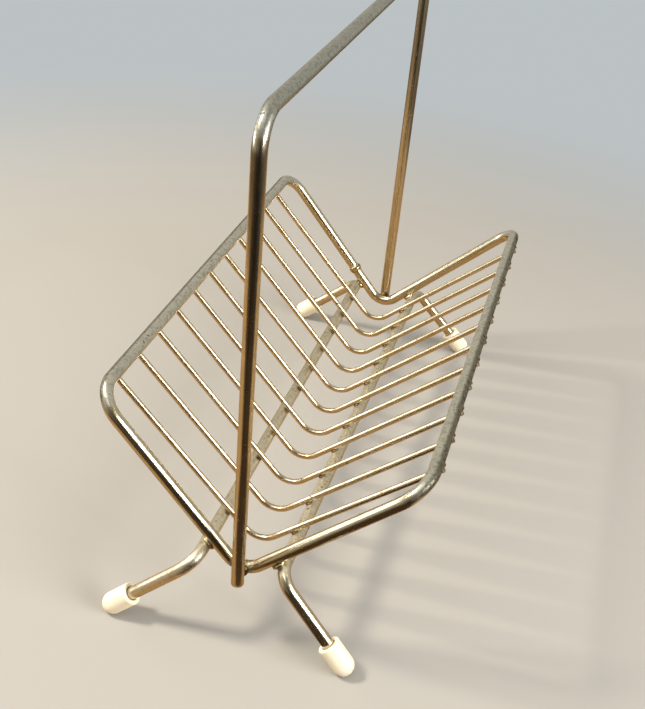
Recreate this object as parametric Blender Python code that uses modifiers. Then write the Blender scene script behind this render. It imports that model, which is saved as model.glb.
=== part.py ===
"""Magazine rack of welded round rod: a V-shaped wire trough under a tall carrying hoop, on four capped feet.

Frame: metres, +Z up, X across the trough, Y along it, origin on the floor under the middle of the rack.
The rim is one rod bent into a closed loop: the V of each end and the two top rails. The wires hang under
the rails and lie on two leg rods, whose ends turn down and out into the feet. The hoop's legs stand
against the outer face of the two V bottoms. Neighbouring pieces keep PIECE_GAP where they touch.
"""

import math

import bpy
from mathutils import Matrix, Quaternion, Vector

# Stock, in metres
ROD_DIAMETER = 0.00635
WIRE_DIAMETER = 0.0031
PIECE_GAP = 0.0003

# Rim
FRAME_SPACING = 0.278
RAIL_HALF_WIDTH = 0.078
RAIL_HEIGHT = 0.1145
VEE_HEIGHT = 0.0325
VEE_RADIUS = 0.011
RIM_CORNER_RADIUS = 0.015

# Wires
WIRE_COUNT = 11
WIRE_BEND_RADIUS = 0.011
WIRE_END_SETBACK = 0.0003

# Leg rods and feet
LEG_HALF_SPACING = 0.020
LEG_STAGGER = 0.004
LEG_RUN_OUT = 0.010
LEG_BEND_RADIUS = 0.011
FOOT_HALF_WIDTH = 0.0585
FOOT_RUN_OUT = 0.0155
CAP_WALL = 0.0022
CAP_LENGTH = 0.0185
CAP_LIP_RADIUS = 0.0007
CAP_FLAT_DEPTH = 0.0003

# Carrying hoop
HANDLE_HEIGHT = 0.266
HANDLE_TAIL = 0.0061
HANDLE_CORNER_RADIUS = 0.015
HANDLE_LEAN = math.radians(2.5)

# Weld metal
BEAD_SPREAD = 0.0046
BEAD_THICKNESS = 0.0024
BUTT_WELD_OFFSET = 0.0115
BUTT_WELD_BULGE = 0.0006
BUTT_WELD_LENGTH = 0.0040

# Facets
ARC_STEPS = 8
ROD_BEVEL_RESOLUTION = 4
WIRE_BEVEL_RESOLUTION = 2
TURNED_STEPS = 24
BEAD_SEGMENTS = 20

COLLECTION_NAME = "magazine_rack"
SIDES = ((-1, "left"), (1, "right"))
ENDS = ((-1, "front"), (1, "back"))
ROD_RADIUS = ROD_DIAMETER / 2
WIRE_RADIUS = WIRE_DIAMETER / 2
FRAME_HALF = FRAME_SPACING / 2
ROD_ON_ROD = ROD_DIAMETER + PIECE_GAP
ROD_CLEARANCE = ROD_RADIUS + PIECE_GAP
CAP_RADIUS = ROD_CLEARANCE + CAP_WALL
WIRE_ON_ROD = ROD_RADIUS + WIRE_RADIUS + PIECE_GAP


def clear_scene():
    """Removes whatever the file opened with."""
    for item in list(bpy.data.objects):
        bpy.data.objects.remove(item)


def new_collection(name):
    collection = bpy.data.collections.new(name)
    bpy.context.scene.collection.children.link(collection)
    return collection


def principled(name, colour, roughness, metallic):
    """A Principled material with one colour, given as linear red, green and blue."""
    material = bpy.data.materials.new(name)
    material.use_nodes = True
    shader = material.node_tree.nodes["Principled BSDF"]
    shader.inputs["Base Color"].default_value = (*colour, 1.0)
    shader.inputs["Roughness"].default_value = roughness
    shader.inputs["Metallic"].default_value = metallic
    return material


def move_to(item, collection):
    """Puts a new object in one collection only."""
    for current in list(item.users_collection):
        current.objects.unlink(item)
    collection.objects.link(item)


def corner_arc(before, corner, after, radius):
    """Points of the arc that rounds the corner of a rod's centre line."""
    towards_before = (before - corner).normalized()
    towards_after = (after - corner).normalized()
    half_angle = towards_before.angle(towards_after) / 2
    centre = corner + (towards_before + towards_after).normalized() * (radius / math.sin(half_angle))
    spoke = corner + towards_before * (radius / math.tan(half_angle)) - centre
    axis = towards_after.cross(towards_before).normalized()
    turn = math.pi - 2 * half_angle
    return [centre + Quaternion(axis, turn * step / ARC_STEPS) @ spoke for step in range(ARC_STEPS + 1)]


def bent_line(points, radii, closed=False):
    """The centre line through the points, with each corner rounded to its own bend radius."""
    line = [] if closed else [points[0]]
    corners = range(len(points)) if closed else range(1, len(points) - 1)
    for place in corners:
        before, after = points[place - 1], points[(place + 1) % len(points)]
        line += corner_arc(before, points[place], after, radii[place])
    return line if closed else line + [points[-1]]


def tube(name, line, radius, resolution, collection, closed=False):
    """A round bar along a centre line, as a bevelled curve with filled ends."""
    curve = bpy.data.curves.new(name, "CURVE")
    curve.dimensions = "3D"
    curve.bevel_depth = radius
    curve.bevel_resolution = resolution
    curve.use_fill_caps = not closed
    spline = curve.splines.new("POLY")
    spline.points.add(len(line) - 1)
    for point, place in zip(spline.points, line):
        point.co = (*place, 1.0)
    spline.use_cyclic_u = closed
    spline.use_smooth = True
    bar = bpy.data.objects.new(name, curve)
    collection.objects.link(bar)
    return bar


def tube_cutter(name, line, radius, collection, closed=False):
    """The same bar as a closed mesh, for cutting the pieces that rest on it."""
    bar = tube(name + "_guide", line, radius, ROD_BEVEL_RESOLUTION, collection, closed)
    bpy.context.view_layer.update()
    evaluated = bar.evaluated_get(bpy.context.evaluated_depsgraph_get())
    cutter = bpy.data.objects.new(name, bpy.data.meshes.new_from_object(evaluated))
    cutter.matrix_world = bar.matrix_world
    collection.objects.link(cutter)
    bpy.data.objects.remove(bar)
    weld = cutter.modifiers.new("caps", "WELD")
    weld.merge_threshold = 0.00001
    mark_as_cutter(cutter)
    return cutter


def mark_as_cutter(item):
    item.hide_render = True
    item.display_type = "WIRE"


def cut(item, cutter):
    """Takes the cutter's shape out of a piece."""
    modifier = item.modifiers.new("clear_" + cutter.name, "BOOLEAN")
    modifier.operation = "DIFFERENCE"
    modifier.object = cutter


def vee_slope():
    """Angle of the rim's arms above the floor."""
    return math.atan2(RAIL_HEIGHT - VEE_HEIGHT, RAIL_HALF_WIDTH)


def arm_point(distance, side, end):
    """Point of a rim arm's centre line, measured up the arm from the point of the V."""
    slope = vee_slope()
    height = VEE_HEIGHT + distance * math.sin(slope)
    return Vector((side * distance * math.cos(slope), end * FRAME_HALF, height))


def arm_underside(side):
    """Unit vector out of the trough, square to an arm."""
    slope = vee_slope()
    return Vector((side * math.sin(slope), 0.0, -math.cos(slope)))


def leg_distance():
    """How far up the arms the leg rods cross them."""
    slope = vee_slope()
    return (LEG_HALF_SPACING - ROD_ON_ROD * math.sin(slope)) / math.cos(slope)


def leg_height():
    """Height of the leg rods' straight run, where they touch the arms from below."""
    return arm_point(leg_distance(), 1, 1).z + ROD_ON_ROD * arm_underside(1).z


def vee_bottom_height():
    """Height of the rim's centre line in the middle of the V bend."""
    return VEE_HEIGHT + VEE_RADIUS * (1 / math.cos(vee_slope()) - 1)


def rim_line():
    """The rim's closed centre line: left rail, back V, right rail, front V."""
    half, width, top = FRAME_HALF, RAIL_HALF_WIDTH, RAIL_HEIGHT
    points = [
        Vector((0.0, -half, VEE_HEIGHT)),
        Vector((-width, -half, top)),
        Vector((-width, half, top)),
        Vector((0.0, half, VEE_HEIGHT)),
        Vector((width, half, top)),
        Vector((width, -half, top)),
    ]
    rail_corners = [RIM_CORNER_RADIUS] * 2
    return bent_line(points, [VEE_RADIUS, *rail_corners, VEE_RADIUS, *rail_corners], closed=True)


def wire_line(along):
    """A wire's centre line at one place along the rack, under the rails and on the leg rods."""
    rail = Vector((RAIL_HALF_WIDTH, RAIL_HEIGHT))
    leg = Vector((LEG_HALF_SPACING, leg_height()))
    span = rail - leg
    slope = math.atan2(span.y, span.x) - math.asin(2 * WIRE_ON_ROD / span.length)
    direction = Vector((math.cos(slope), math.sin(slope)))
    on_rail = rail + WIRE_ON_ROD * Vector((direction.y, -direction.x))
    tip = on_rail - WIRE_END_SETBACK * direction
    middle = tip.y - tip.x * direction.y / direction.x
    points = [
        Vector((-tip.x, along, tip.y)),
        Vector((0.0, along, middle)),
        Vector((tip.x, along, tip.y)),
    ]
    return bent_line(points, [0.0, WIRE_BEND_RADIUS, 0.0])


def foot_centre(side, end):
    """Centre of a cap's round end, with its lowest point just below the floor, where it is flat."""
    shift = side * LEG_STAGGER
    reach = end * (FRAME_HALF + FOOT_RUN_OUT)
    return Vector((side * FOOT_HALF_WIDTH, reach + shift, CAP_RADIUS - CAP_FLAT_DEPTH))


def foot_bend(side, end):
    """Corner of a leg rod's centre line, outside the end frame."""
    shift = side * LEG_STAGGER
    reach = end * (FRAME_HALF + LEG_RUN_OUT)
    return Vector((side * LEG_HALF_SPACING, reach + shift, leg_height()))


def leg_line(side):
    """A leg rod's centre line from its front foot to its back foot."""
    points = [foot_centre(side, -1), foot_bend(side, -1), foot_bend(side, 1), foot_centre(side, 1)]
    return bent_line(points, [0.0, LEG_BEND_RADIUS, LEG_BEND_RADIUS, 0.0])


def lean(point):
    """Tips a point of the upright hoop about the rack's long axis, at the height of the V."""
    pivot = Vector((0.0, 0.0, VEE_HEIGHT))
    return pivot + Quaternion((0.0, 1.0, 0.0), -HANDLE_LEAN) @ (point - pivot)


def handle_line():
    """The hoop's centre line, up the front leg, along the bar and down the back leg."""
    reach = FRAME_HALF + ROD_ON_ROD
    end_height = vee_bottom_height() - HANDLE_TAIL
    upright = [
        Vector((0.0, -reach, end_height)),
        Vector((0.0, -reach, HANDLE_HEIGHT)),
        Vector((0.0, reach, HANDLE_HEIGHT)),
        Vector((0.0, reach, end_height)),
    ]
    radii = [0.0, HANDLE_CORNER_RADIUS, HANDLE_CORNER_RADIUS, 0.0]
    return bent_line([lean(point) for point in upright], radii)


def cap_profile():
    """Half outline of a cap, from the floor of its bore over the mouth and down the outside.

    The round end's centre is at zero, and the mouth is above it.
    """
    mouth = CAP_LENGTH - CAP_RADIUS
    outline = [(0.0, -PIECE_GAP), (ROD_CLEARANCE, -PIECE_GAP)]
    lip_centres = ((ROD_CLEARANCE + CAP_LIP_RADIUS, math.pi), (CAP_RADIUS - CAP_LIP_RADIUS, math.pi / 2))
    for across, start in lip_centres:
        for step in range(4):
            angle = start - step * math.pi / 6
            reach = across + CAP_LIP_RADIUS * math.cos(angle)
            outline.append((reach, mouth - CAP_LIP_RADIUS * (1 - math.sin(angle))))
    for step in range(ARC_STEPS + 1):
        angle = -step * math.pi / 2 / ARC_STEPS
        outline.append((CAP_RADIUS * math.cos(angle), CAP_RADIUS * math.sin(angle)))
    outline[-1] = (0.0, -CAP_RADIUS)
    return outline


def make_foot_cap(name, side, end, floor, material, collection):
    """A bullet-shaped cap on the end of a leg rod, worn flat where it stands."""
    outline = cap_profile()
    mesh = bpy.data.meshes.new(name)
    edges = [(place, place + 1) for place in range(len(outline) - 1)]
    mesh.from_pydata([(across, 0.0, height) for across, height in outline], edges, [])
    cap = bpy.data.objects.new(name, mesh)
    collection.objects.link(cap)
    mesh.materials.append(material)
    axis = foot_bend(side, end) - foot_centre(side, end)
    cap.location = foot_centre(side, end)
    cap.rotation_mode = "QUATERNION"
    cap.rotation_quaternion = axis.to_track_quat("Z", "Y")
    turn = cap.modifiers.new("turned", "SCREW")
    turn.steps = TURNED_STEPS
    turn.render_steps = TURNED_STEPS
    turn.use_merge_vertices = True
    turn.merge_threshold = 0.00001
    turn.use_smooth_shade = True
    cut(cap, floor)
    return cap


def make_floor_cutter(collection):
    """A slab under the floor, which flattens the caps."""
    size = 4 * (FRAME_HALF + FOOT_RUN_OUT)
    bpy.ops.mesh.primitive_cube_add(size=size, location=(0.0, 0.0, -size / 2))
    slab = bpy.context.object
    slab.name = "floor_slab"
    move_to(slab, collection)
    mark_as_cutter(slab)
    return slab


def make_weld_bead(name, centre, normal, along, cutters, material, collection):
    """A fillet of weld metal around the point where two rods touch.

    It is a flattened ball between the rods, thin along the line that joins them and cleared of both.
    """
    bpy.ops.mesh.primitive_uv_sphere_add(segments=BEAD_SEGMENTS, ring_count=BEAD_SEGMENTS // 2, radius=1.0)
    bead = bpy.context.object
    bead.name = name
    bead.data.name = name
    move_to(bead, collection)
    bead.data.materials.append(material)
    bead.data.transform(Matrix.Diagonal((BEAD_SPREAD, BEAD_SPREAD, BEAD_THICKNESS, 1.0)))
    bead.location = centre
    bead.rotation_mode = "QUATERNION"
    bead.rotation_quaternion = Matrix((along.cross(normal), along, normal)).transposed().to_quaternion()
    bead.data.shade_smooth()
    for cutter in cutters:
        cut(bead, cutter)
    return bead


def make_butt_weld(material, collection):
    """The ridge of weld metal around the rim, where the two ends of its rod meet."""
    bpy.ops.mesh.primitive_torus_add(
        major_segments=TURNED_STEPS,
        minor_segments=ARC_STEPS,
        major_radius=ROD_CLEARANCE + BUTT_WELD_BULGE,
        minor_radius=BUTT_WELD_BULGE,
    )
    ridge = bpy.context.object
    ridge.name = "rim_butt_weld"
    move_to(ridge, collection)
    ridge.data.materials.append(material)
    ridge.data.transform(Matrix.Diagonal((1.0, 1.0, BUTT_WELD_LENGTH / (2 * BUTT_WELD_BULGE), 1.0)))
    ridge.location = arm_point(leg_distance() + BUTT_WELD_OFFSET, -1, 1)
    ridge.rotation_mode = "QUATERNION"
    arm = arm_point(1.0, -1, 1) - arm_point(0.0, -1, 1)
    ridge.rotation_quaternion = arm.to_track_quat("Z", "Y")
    ridge.data.shade_smooth()
    return ridge


def make_rods(rod_finish, wire_finish, collection):
    """The rim, the carrying hoop, the leg rods and the wires."""
    bars = [
        tube("rim_frame", rim_line(), ROD_RADIUS, ROD_BEVEL_RESOLUTION, collection, closed=True),
        tube("handle_hoop", handle_line(), ROD_RADIUS, ROD_BEVEL_RESOLUTION, collection),
    ]
    for side, side_name in SIDES:
        bars.append(tube("leg_rod_" + side_name, leg_line(side), ROD_RADIUS, ROD_BEVEL_RESOLUTION, collection))
    for bar in bars:
        bar.data.materials.append(rod_finish)
    pitch = FRAME_SPACING / (WIRE_COUNT + 1)
    for number in range(1, WIRE_COUNT + 1):
        line = wire_line(number * pitch - FRAME_HALF)
        wire = tube(f"vee_wire_{number:02d}", line, WIRE_RADIUS, WIRE_BEVEL_RESOLUTION, collection)
        wire.data.materials.append(wire_finish)


def make_welds(material, collection, cutters):
    """The beads that hold the hoop and the leg rods to the rim, and the rim's own joint."""
    rim = tube_cutter("rim_clearance", rim_line(), ROD_CLEARANCE, cutters, closed=True)
    hoop = tube_cutter("hoop_clearance", handle_line(), ROD_CLEARANCE, cutters)
    for end, end_name in ENDS:
        centre = Vector((0.0, end * (FRAME_HALF + ROD_ON_ROD / 2), vee_bottom_height()))
        outward = Vector((0.0, end, 0.0))
        make_weld_bead(
            "handle_weld_" + end_name, centre, outward, Vector((0.0, 0.0, 1.0)), (rim, hoop), material, collection
        )
    for side, side_name in SIDES:
        leg = tube_cutter("leg_clearance_" + side_name, leg_line(side), ROD_CLEARANCE, cutters)
        for end, end_name in ENDS:
            centre = arm_point(leg_distance(), side, end) + arm_underside(side) * (ROD_ON_ROD / 2)
            make_weld_bead(
                f"leg_weld_{end_name}_{side_name}",
                centre,
                arm_underside(side),
                Vector((0.0, 1.0, 0.0)),
                (rim, leg),
                material,
                collection,
            )
    make_butt_weld(material, collection)


def main():
    clear_scene()
    rack = new_collection(COLLECTION_NAME)
    cutters = new_collection("cutters")
    rod_finish = principled("worn_brassed_rod", (0.42, 0.36, 0.22), 0.32, 1.0)
    wire_finish = principled("brassed_wire", (0.58, 0.44, 0.22), 0.25, 1.0)
    weld_finish = principled("weld_metal", (0.25, 0.22, 0.17), 0.45, 1.0)
    vinyl = principled("ivory_vinyl", (0.86, 0.80, 0.66), 0.45, 0.0)
    make_rods(rod_finish, wire_finish, rack)
    make_welds(weld_finish, rack, cutters)
    floor = make_floor_cutter(cutters)
    for side, side_name in SIDES:
        for end, end_name in ENDS:
            make_foot_cap(f"foot_cap_{end_name}_{side_name}", side, end, floor, vinyl, rack)


main()
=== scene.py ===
"""Looks of the magazine rack: a V-shaped trough of brass-plated wire under a tall carrying hoop.

Metres, +Z up, X across the trough and Y along it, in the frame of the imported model. Every rod is drawn
again as a fine round bar along its own centre line, with its welds, and each finish is procedural.
"""

import logging
import math
from collections.abc import Callable, Iterator
from contextlib import contextmanager
from dataclasses import dataclass
from enum import Enum

import bpy
from bpy.types import Material, Node, NodeSocket, NodeTree, Object
from mathutils import Matrix, Quaternion, Vector
from mathutils.kdtree import KDTree

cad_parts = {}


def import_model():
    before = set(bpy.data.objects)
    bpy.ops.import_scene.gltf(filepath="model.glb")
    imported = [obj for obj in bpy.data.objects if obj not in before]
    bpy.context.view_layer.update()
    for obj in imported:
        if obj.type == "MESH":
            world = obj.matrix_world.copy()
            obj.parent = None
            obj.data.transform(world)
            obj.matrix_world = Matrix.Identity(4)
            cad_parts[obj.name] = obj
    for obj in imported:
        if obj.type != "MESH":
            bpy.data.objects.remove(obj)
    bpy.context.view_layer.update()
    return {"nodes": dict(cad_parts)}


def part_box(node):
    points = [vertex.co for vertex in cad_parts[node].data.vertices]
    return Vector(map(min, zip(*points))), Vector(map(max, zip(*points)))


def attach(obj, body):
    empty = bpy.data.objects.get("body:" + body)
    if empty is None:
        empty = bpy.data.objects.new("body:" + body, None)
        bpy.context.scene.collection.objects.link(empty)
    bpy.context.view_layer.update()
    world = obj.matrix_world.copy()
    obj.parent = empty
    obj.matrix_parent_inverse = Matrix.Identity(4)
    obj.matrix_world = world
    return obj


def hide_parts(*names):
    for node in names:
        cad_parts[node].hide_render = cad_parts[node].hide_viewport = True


LOG = logging.getLogger("magazine_rack")

# Stock and bends, in metres
ROD_RADIUS = 0.003175
WIRE_RADIUS = 0.00155
PIECE_GAP = 0.0003
ROD_ON_ROD = 2 * ROD_RADIUS + PIECE_GAP
WIRE_ON_ROD = ROD_RADIUS + WIRE_RADIUS + PIECE_GAP
CORNER_RADIUS = 0.015
NARROW_RADIUS = 0.011

# Points nearer than this are one point
MERGE_DISTANCE = 0.00001

# Where a rod's dull skin starts and is full, as parts of its radius above its middle
SKIN_EDGE = (-0.35, 0.2)

# The backdrop's grey, a smooth ramp, and a mix of two colours with the sockets that it uses
STUDIO_GREY = "#bcc2c4"
EASED = {"interpolation_type": "SMOOTHSTEP"}
COLOURS = {"output": 2, "data_type": "RGBA"}
SHARE, FIRST, SECOND = 0, 6, 7

# Faces that meet at less than this are shaded as one
SMOOTH_ANGLE = math.radians(40)

ROOT = "root"

Triple = tuple[float, float, float]


class Side(Enum):
    """The two halves of the rack across its trough."""

    LEFT = -1
    RIGHT = 1


class End(Enum):
    """The two end frames along the rack."""

    FRONT = -1
    BACK = 1


class Slot(Enum):
    """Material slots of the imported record."""

    ROD = "rod_plate"
    WIRE = "wire_plate"
    WELD = "weld_metal"
    CAP = "cap_vinyl"


def smoothstep(value: float, low: float, high: float) -> float:
    """Eases from 0 to 1 as value goes from low to high."""
    share = min(max((value - low) / (high - low), 0.0), 1.0)
    return share * share * (3 - 2 * share)


def linear(code: str) -> tuple[float, float, float, float]:
    """Turns an sRGB hex colour into the linear colour a socket takes.

    Args:
        code: colour as "#rrggbb".

    Returns:
        Linear red, green, blue and an alpha of one.
    """
    parts = (int(code[place : place + 2], 16) / 255 for place in (1, 3, 5))
    red, green, blue = (p / 12.92 if p <= 0.04045 else ((p + 0.055) / 1.055) ** 2.4 for p in parts)
    return (red, green, blue, 1.0)


def per_metre(millimetres: float) -> float:
    """Texture scale that gives a pattern one feature every so many millimetres."""
    return 1000.0 / millimetres


def fill(tree: NodeTree, node: Node, inputs: dict) -> None:
    """Fills a node's inputs.

    Args:
        tree: node tree that holds the node.
        node: node to fill.
        inputs: socket name or number, with the value it holds or the output it is linked to.
    """
    for socket, value in inputs.items():
        if isinstance(value, NodeSocket):
            tree.links.new(value, node.inputs[socket])
        else:
            node.inputs[socket].default_value = value


def add_node(
    tree: NodeTree, kind: str, inputs: dict | None = None, output: int | str = 0, **settings: str
) -> NodeSocket:
    """Adds one node with its settings, values and links.

    Args:
        tree: node tree that gets the node.
        kind: node type after the word ShaderNode, such as TexNoise.
        inputs: socket name or number, with the value it holds or the output it is linked to.
        output: name or number of the output that is wanted.
        settings: properties of the node, by name.

    Returns:
        The wanted output of the new node.
    """
    node = tree.nodes.new("ShaderNode" + kind)
    for name, value in settings.items():
        setattr(node, name, value)
    fill(tree, node, inputs or {})
    return node.outputs[output]


def deselect_all() -> None:
    """Clears the selection, so that an operator acts only on what is added next."""
    if bpy.context.object and bpy.context.object.mode != "OBJECT":
        bpy.ops.object.mode_set(mode="OBJECT")
    for item in bpy.context.selected_objects:
        item.select_set(False)


def pick(item: Object) -> None:
    """Makes one object the only selected one, and active."""
    deselect_all()
    item.select_set(True)
    bpy.context.view_layer.objects.active = item


@contextmanager
def editing_all() -> Iterator[None]:
    """Opens edit mode with the whole mesh selected, and leaves it at the end."""
    bpy.ops.object.mode_set(mode="EDIT")
    bpy.ops.mesh.select_all(action="SELECT")
    yield
    bpy.ops.object.mode_set(mode="OBJECT")


def extrude(step: Vector | Triple) -> None:
    """Extrudes what is selected by one step."""
    bpy.ops.mesh.extrude_region_move(TRANSFORM_OT_translate={"value": step})


@contextmanager
def editing_edges(item: Object, wanted: Callable[[Vector, Vector], bool]) -> Iterator[None]:
    """Opens edit mode on an object with only some of its edges selected, and leaves it at the end.

    Args:
        item: mesh object.
        wanted: function of an edge's two end points that says whether it is selected.
    """
    mesh = item.data
    mesh.polygons.foreach_set("select", [False] * len(mesh.polygons))
    mesh.vertices.foreach_set("select", [False] * len(mesh.vertices))
    for edge in mesh.edges:
        first, second = (mesh.vertices[number].co for number in edge.vertices)
        edge.select = wanted(first, second)
    bpy.context.tool_settings.mesh_select_mode = (False, True, False)
    bpy.ops.object.mode_set(mode="EDIT")
    yield
    bpy.ops.object.mode_set(mode="OBJECT")


def move_copy(item: Object, place: Vector, turn: Quaternion) -> None:
    """Moves and turns a piece, and leaves its place in its mesh.

    Args:
        item: piece modelled at the origin.
        place: where its origin goes.
        turn: how it is turned.
    """
    item.location = place
    item.rotation_mode = "QUATERNION"
    item.rotation_quaternion = turn
    pick(item)
    bpy.ops.object.transform_apply()


def name_piece(item: Object, name: str, slot: Slot, material: Material, *nodes: str) -> None:
    """Finishes a piece: its name, material and body.

    Args:
        item: finished mesh.
        name: what the piece is called.
        slot: the record's material slot; not used.
        material: its finish.
        nodes: CAD nodes that it stands for, if any.
    """
    item.name = item.data.name = name
    item.data.materials.clear()
    item.data.materials.append(material)
    pick(item)
    bpy.ops.object.shade_smooth_by_angle(angle=SMOOTH_ANGLE)
    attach(item, ROOT)
    if nodes:
        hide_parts(*nodes)
    LOG.info("%s: %d faces, for %s", name, len(item.data.polygons), ", ".join(nodes) or "no CAD node")


@dataclass(frozen=True)
class Bend:
    """One bend of a centre line, turned by angle about axis at centre."""

    start: Vector
    end: Vector
    centre: Vector
    axis: Vector
    angle: float


@dataclass
class Rod:
    """A round rod with straight runs and round bends, as it leaves the bender.

    It has the corners of its centre line, and a bend radius for each inner corner, or for each one when it
    is closed. The other fields are the rod's own radius, its sides, the spacing of its rings, the broken
    edge of its cut ends, the steps of a bend, and the spacing of the centre line's samples.
    """

    corners: list[Vector]
    bend_radii: list[float]
    radius: float = ROD_RADIUS
    sides: int = 28
    closed: bool = False
    ring_step: float = 0.0015
    chamfer: float = 0.0005
    bend_steps: int = 16
    station_step: float = 0.0005

    def bends(self) -> list[Bend]:
        """Works out every bend of the centre line.

        Returns:
            The bends, in order.
        """
        count = len(self.corners)
        places = range(1, count + 1) if self.closed else range(1, count - 1)
        found = []
        for place, radius in zip(places, self.bend_radii):
            before, corner, after = (self.corners[(place + step) % count] for step in (-1, 0, 1))
            inward, outward = (corner - before).normalized(), (after - corner).normalized()
            angle = inward.angle(outward)
            axis = inward.cross(outward).normalized()
            reach = radius * math.tan(angle / 2)
            start = corner - inward * reach
            found.append(Bend(start, corner + outward * reach, start + axis.cross(inward) * radius, axis, angle))
        return found

    def ends(self) -> tuple[Vector, Vector]:
        """Finds where the centre line starts and stops.

        Returns:
            Its two ends, which are one point in the middle of the first run when the rod is closed.
        """
        if not self.closed:
            return self.corners[0], self.corners[-1]
        middle = (self.corners[0] + self.corners[1]) / 2
        return middle, middle

    def stations(self) -> list[tuple[Vector, Vector, Vector, float]]:
        """Samples the centre line.

        Returns:
            For each sample its place, its direction, a side direction that turns with the rod, and the
            distance along the rod.
        """
        start, end = self.ends()
        place = start
        found = []
        bends = self.bends()
        heading = (bends[0].start - start).normalized()
        across = heading.orthogonal().normalized()
        travelled = 0.0
        for bend in [*bends, None]:
            run = (bend.start if bend else end) - place
            count = max(int(run.length / self.station_step), 1)
            for number in range(count):
                found.append((place + run * number / count, heading, across, travelled + run.length * number / count))
            travelled += run.length
            if bend:
                arc = bend.angle * (bend.start - bend.centre).length
                count = max(int(arc / self.station_step), 1)
                for number in range(count):
                    turn = Quaternion(bend.axis, bend.angle * number / count)
                    spot = bend.centre + turn @ (bend.start - bend.centre)
                    found.append((spot, turn @ heading, turn @ across, travelled + arc * number / count))
                turn = Quaternion(bend.axis, bend.angle)
                heading, across = turn @ heading, turn @ across
                travelled += arc
                place = bend.end
        found.append((end.copy(), heading, across, travelled))
        return found

    def build(self) -> Object:
        """Extrudes a ring along the runs, spins it round the bends and closes or fills its ends.

        Returns:
            The finished rod.
        """
        deselect_all()
        start, end = self.ends()
        bends = self.bends()
        heading = (bends[0].start - start).normalized()
        bpy.ops.mesh.primitive_circle_add(
            vertices=self.sides,
            radius=self.radius,
            location=start,
            rotation=heading.to_track_quat("Z", "Y").to_euler(),
        )
        rod = bpy.context.object
        bpy.ops.object.transform_apply()
        bpy.context.tool_settings.mesh_select_mode = (True, False, False)
        place = start
        runs = []
        with editing_all():
            for bend in bends:
                runs.append(bend.start - place)
                extrude(runs[-1])
                # With no window a spin turns the other way, so its axis is turned round
                bpy.ops.mesh.spin(steps=self.bend_steps, angle=bend.angle, center=bend.centre, axis=-bend.axis)
                place = bend.end
            runs.append(end - place)
            extrude(runs[-1])
            bpy.ops.mesh.select_all(action="SELECT")
            bpy.ops.mesh.remove_doubles(threshold=MERGE_DISTANCE)
        for run in runs:
            self.divide(rod, run)
        if not self.closed:
            self.fill_ends(rod, ((start, heading), (end, runs[-1].normalized())))
        pick(rod)
        with editing_all():
            bpy.ops.mesh.normals_make_consistent(inside=False)
        return rod

    def divide(self, rod: Object, run: Vector) -> None:
        """Cuts one straight run into rings, for the values that its vertices carry.

        Args:
            rod: the tube.
            run: the run's direction and length.
        """
        cuts = math.ceil(run.length / self.ring_step) - 1
        if cuts < 1:
            return

        def along_run(first: Vector, second: Vector) -> bool:
            """Says whether an edge is one of the run's long ones."""
            return abs(abs((second - first).dot(run)) / run.length_squared - 1) < 1e-4

        with editing_edges(rod, along_run):
            bpy.ops.mesh.subdivide(number_cuts=cuts)

    def fill_ends(self, rod: Object, faces: tuple) -> None:
        """Closes both cut ends and breaks their sharp edges.

        Args:
            rod: the open tube.
            faces: the place and direction of each end.
        """
        for place, heading in faces:

            def on_end(first: Vector, second: Vector) -> bool:
                """Says whether an edge lies in this cut face."""
                steps = (first - place, second - place)
                level = all(abs(step.dot(heading)) < MERGE_DISTANCE for step in steps)
                return level and all(step.length < 1.5 * self.radius for step in steps)

            with editing_edges(rod, on_end):
                bpy.ops.mesh.edge_face_add()
            with editing_edges(rod, on_end):
                bpy.ops.mesh.bevel(offset=self.chamfer, segments=3, affect="EDGES")

    def mark(
        self,
        rod: Object,
        welds: list[Vector],
        weld_reach: float,
        shift: float = 0.0,
        skin: float = 1.0,
        worn: float = 0.0,
        level_from: float = 0.15,
        scorches_and_shade: tuple[tuple[Vector, float], ...] = (),
    ) -> None:
        """Gives each vertex the values that the finishes read.

        stock is the place on the straight rod before it was bent, lying says how much dull skin it has, and
        weld is one at a weld, and at a browned mark that is partly painted shade, and falls to zero at its reach.

        Args:
            rod: finished mesh of this rod.
            welds: middles of the welds near this rod.
            weld_reach: distance at which a weld no longer shows.
            shift: length added along the stock, so that copies differ.
            skin: how much dull skin the rod has where it lies level.
            worn: least amount of dull skin anywhere on the rod's upper side.
            level_from: how level the rod is, from zero to one, where the skin begins.
            scorches_and_shade: places browned beyond the welds, each with its own reach, partly as painted shade.
        """
        stations = self.stations()
        tree = KDTree(len(stations))
        for number, station in enumerate(stations):
            tree.insert(station[0], number)
        tree.balance()
        mesh = rod.data
        stock = mesh.attributes.new("stock", "FLOAT_VECTOR", "POINT")
        lying = mesh.attributes.new("lying", "FLOAT", "POINT")
        heat_and_shade = mesh.attributes.new("weld", "FLOAT", "POINT")
        hot = [*((weld, weld_reach) for weld in welds), *scorches_and_shade]
        for vertex in mesh.vertices:
            spot, heading, across, travelled = stations[tree.find(vertex.co)[1]]
            offset = vertex.co - spot
            up = offset.z / self.radius
            level = max(worn, skin * smoothstep(abs(heading.y), level_from, level_from / 5 + 0.8))
            stock.data[vertex.index].vector = (
                offset.dot(across),
                offset.dot(heading.cross(across)),
                travelled + shift,
            )
            lying.data[vertex.index].value = level * smoothstep(up, *SKIN_EDGE)
            heat_and_shade.data[vertex.index].value = max(
                1 - smoothstep((vertex.co - middle).length, 0.0, reach) for middle, reach in hot
            )


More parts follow.
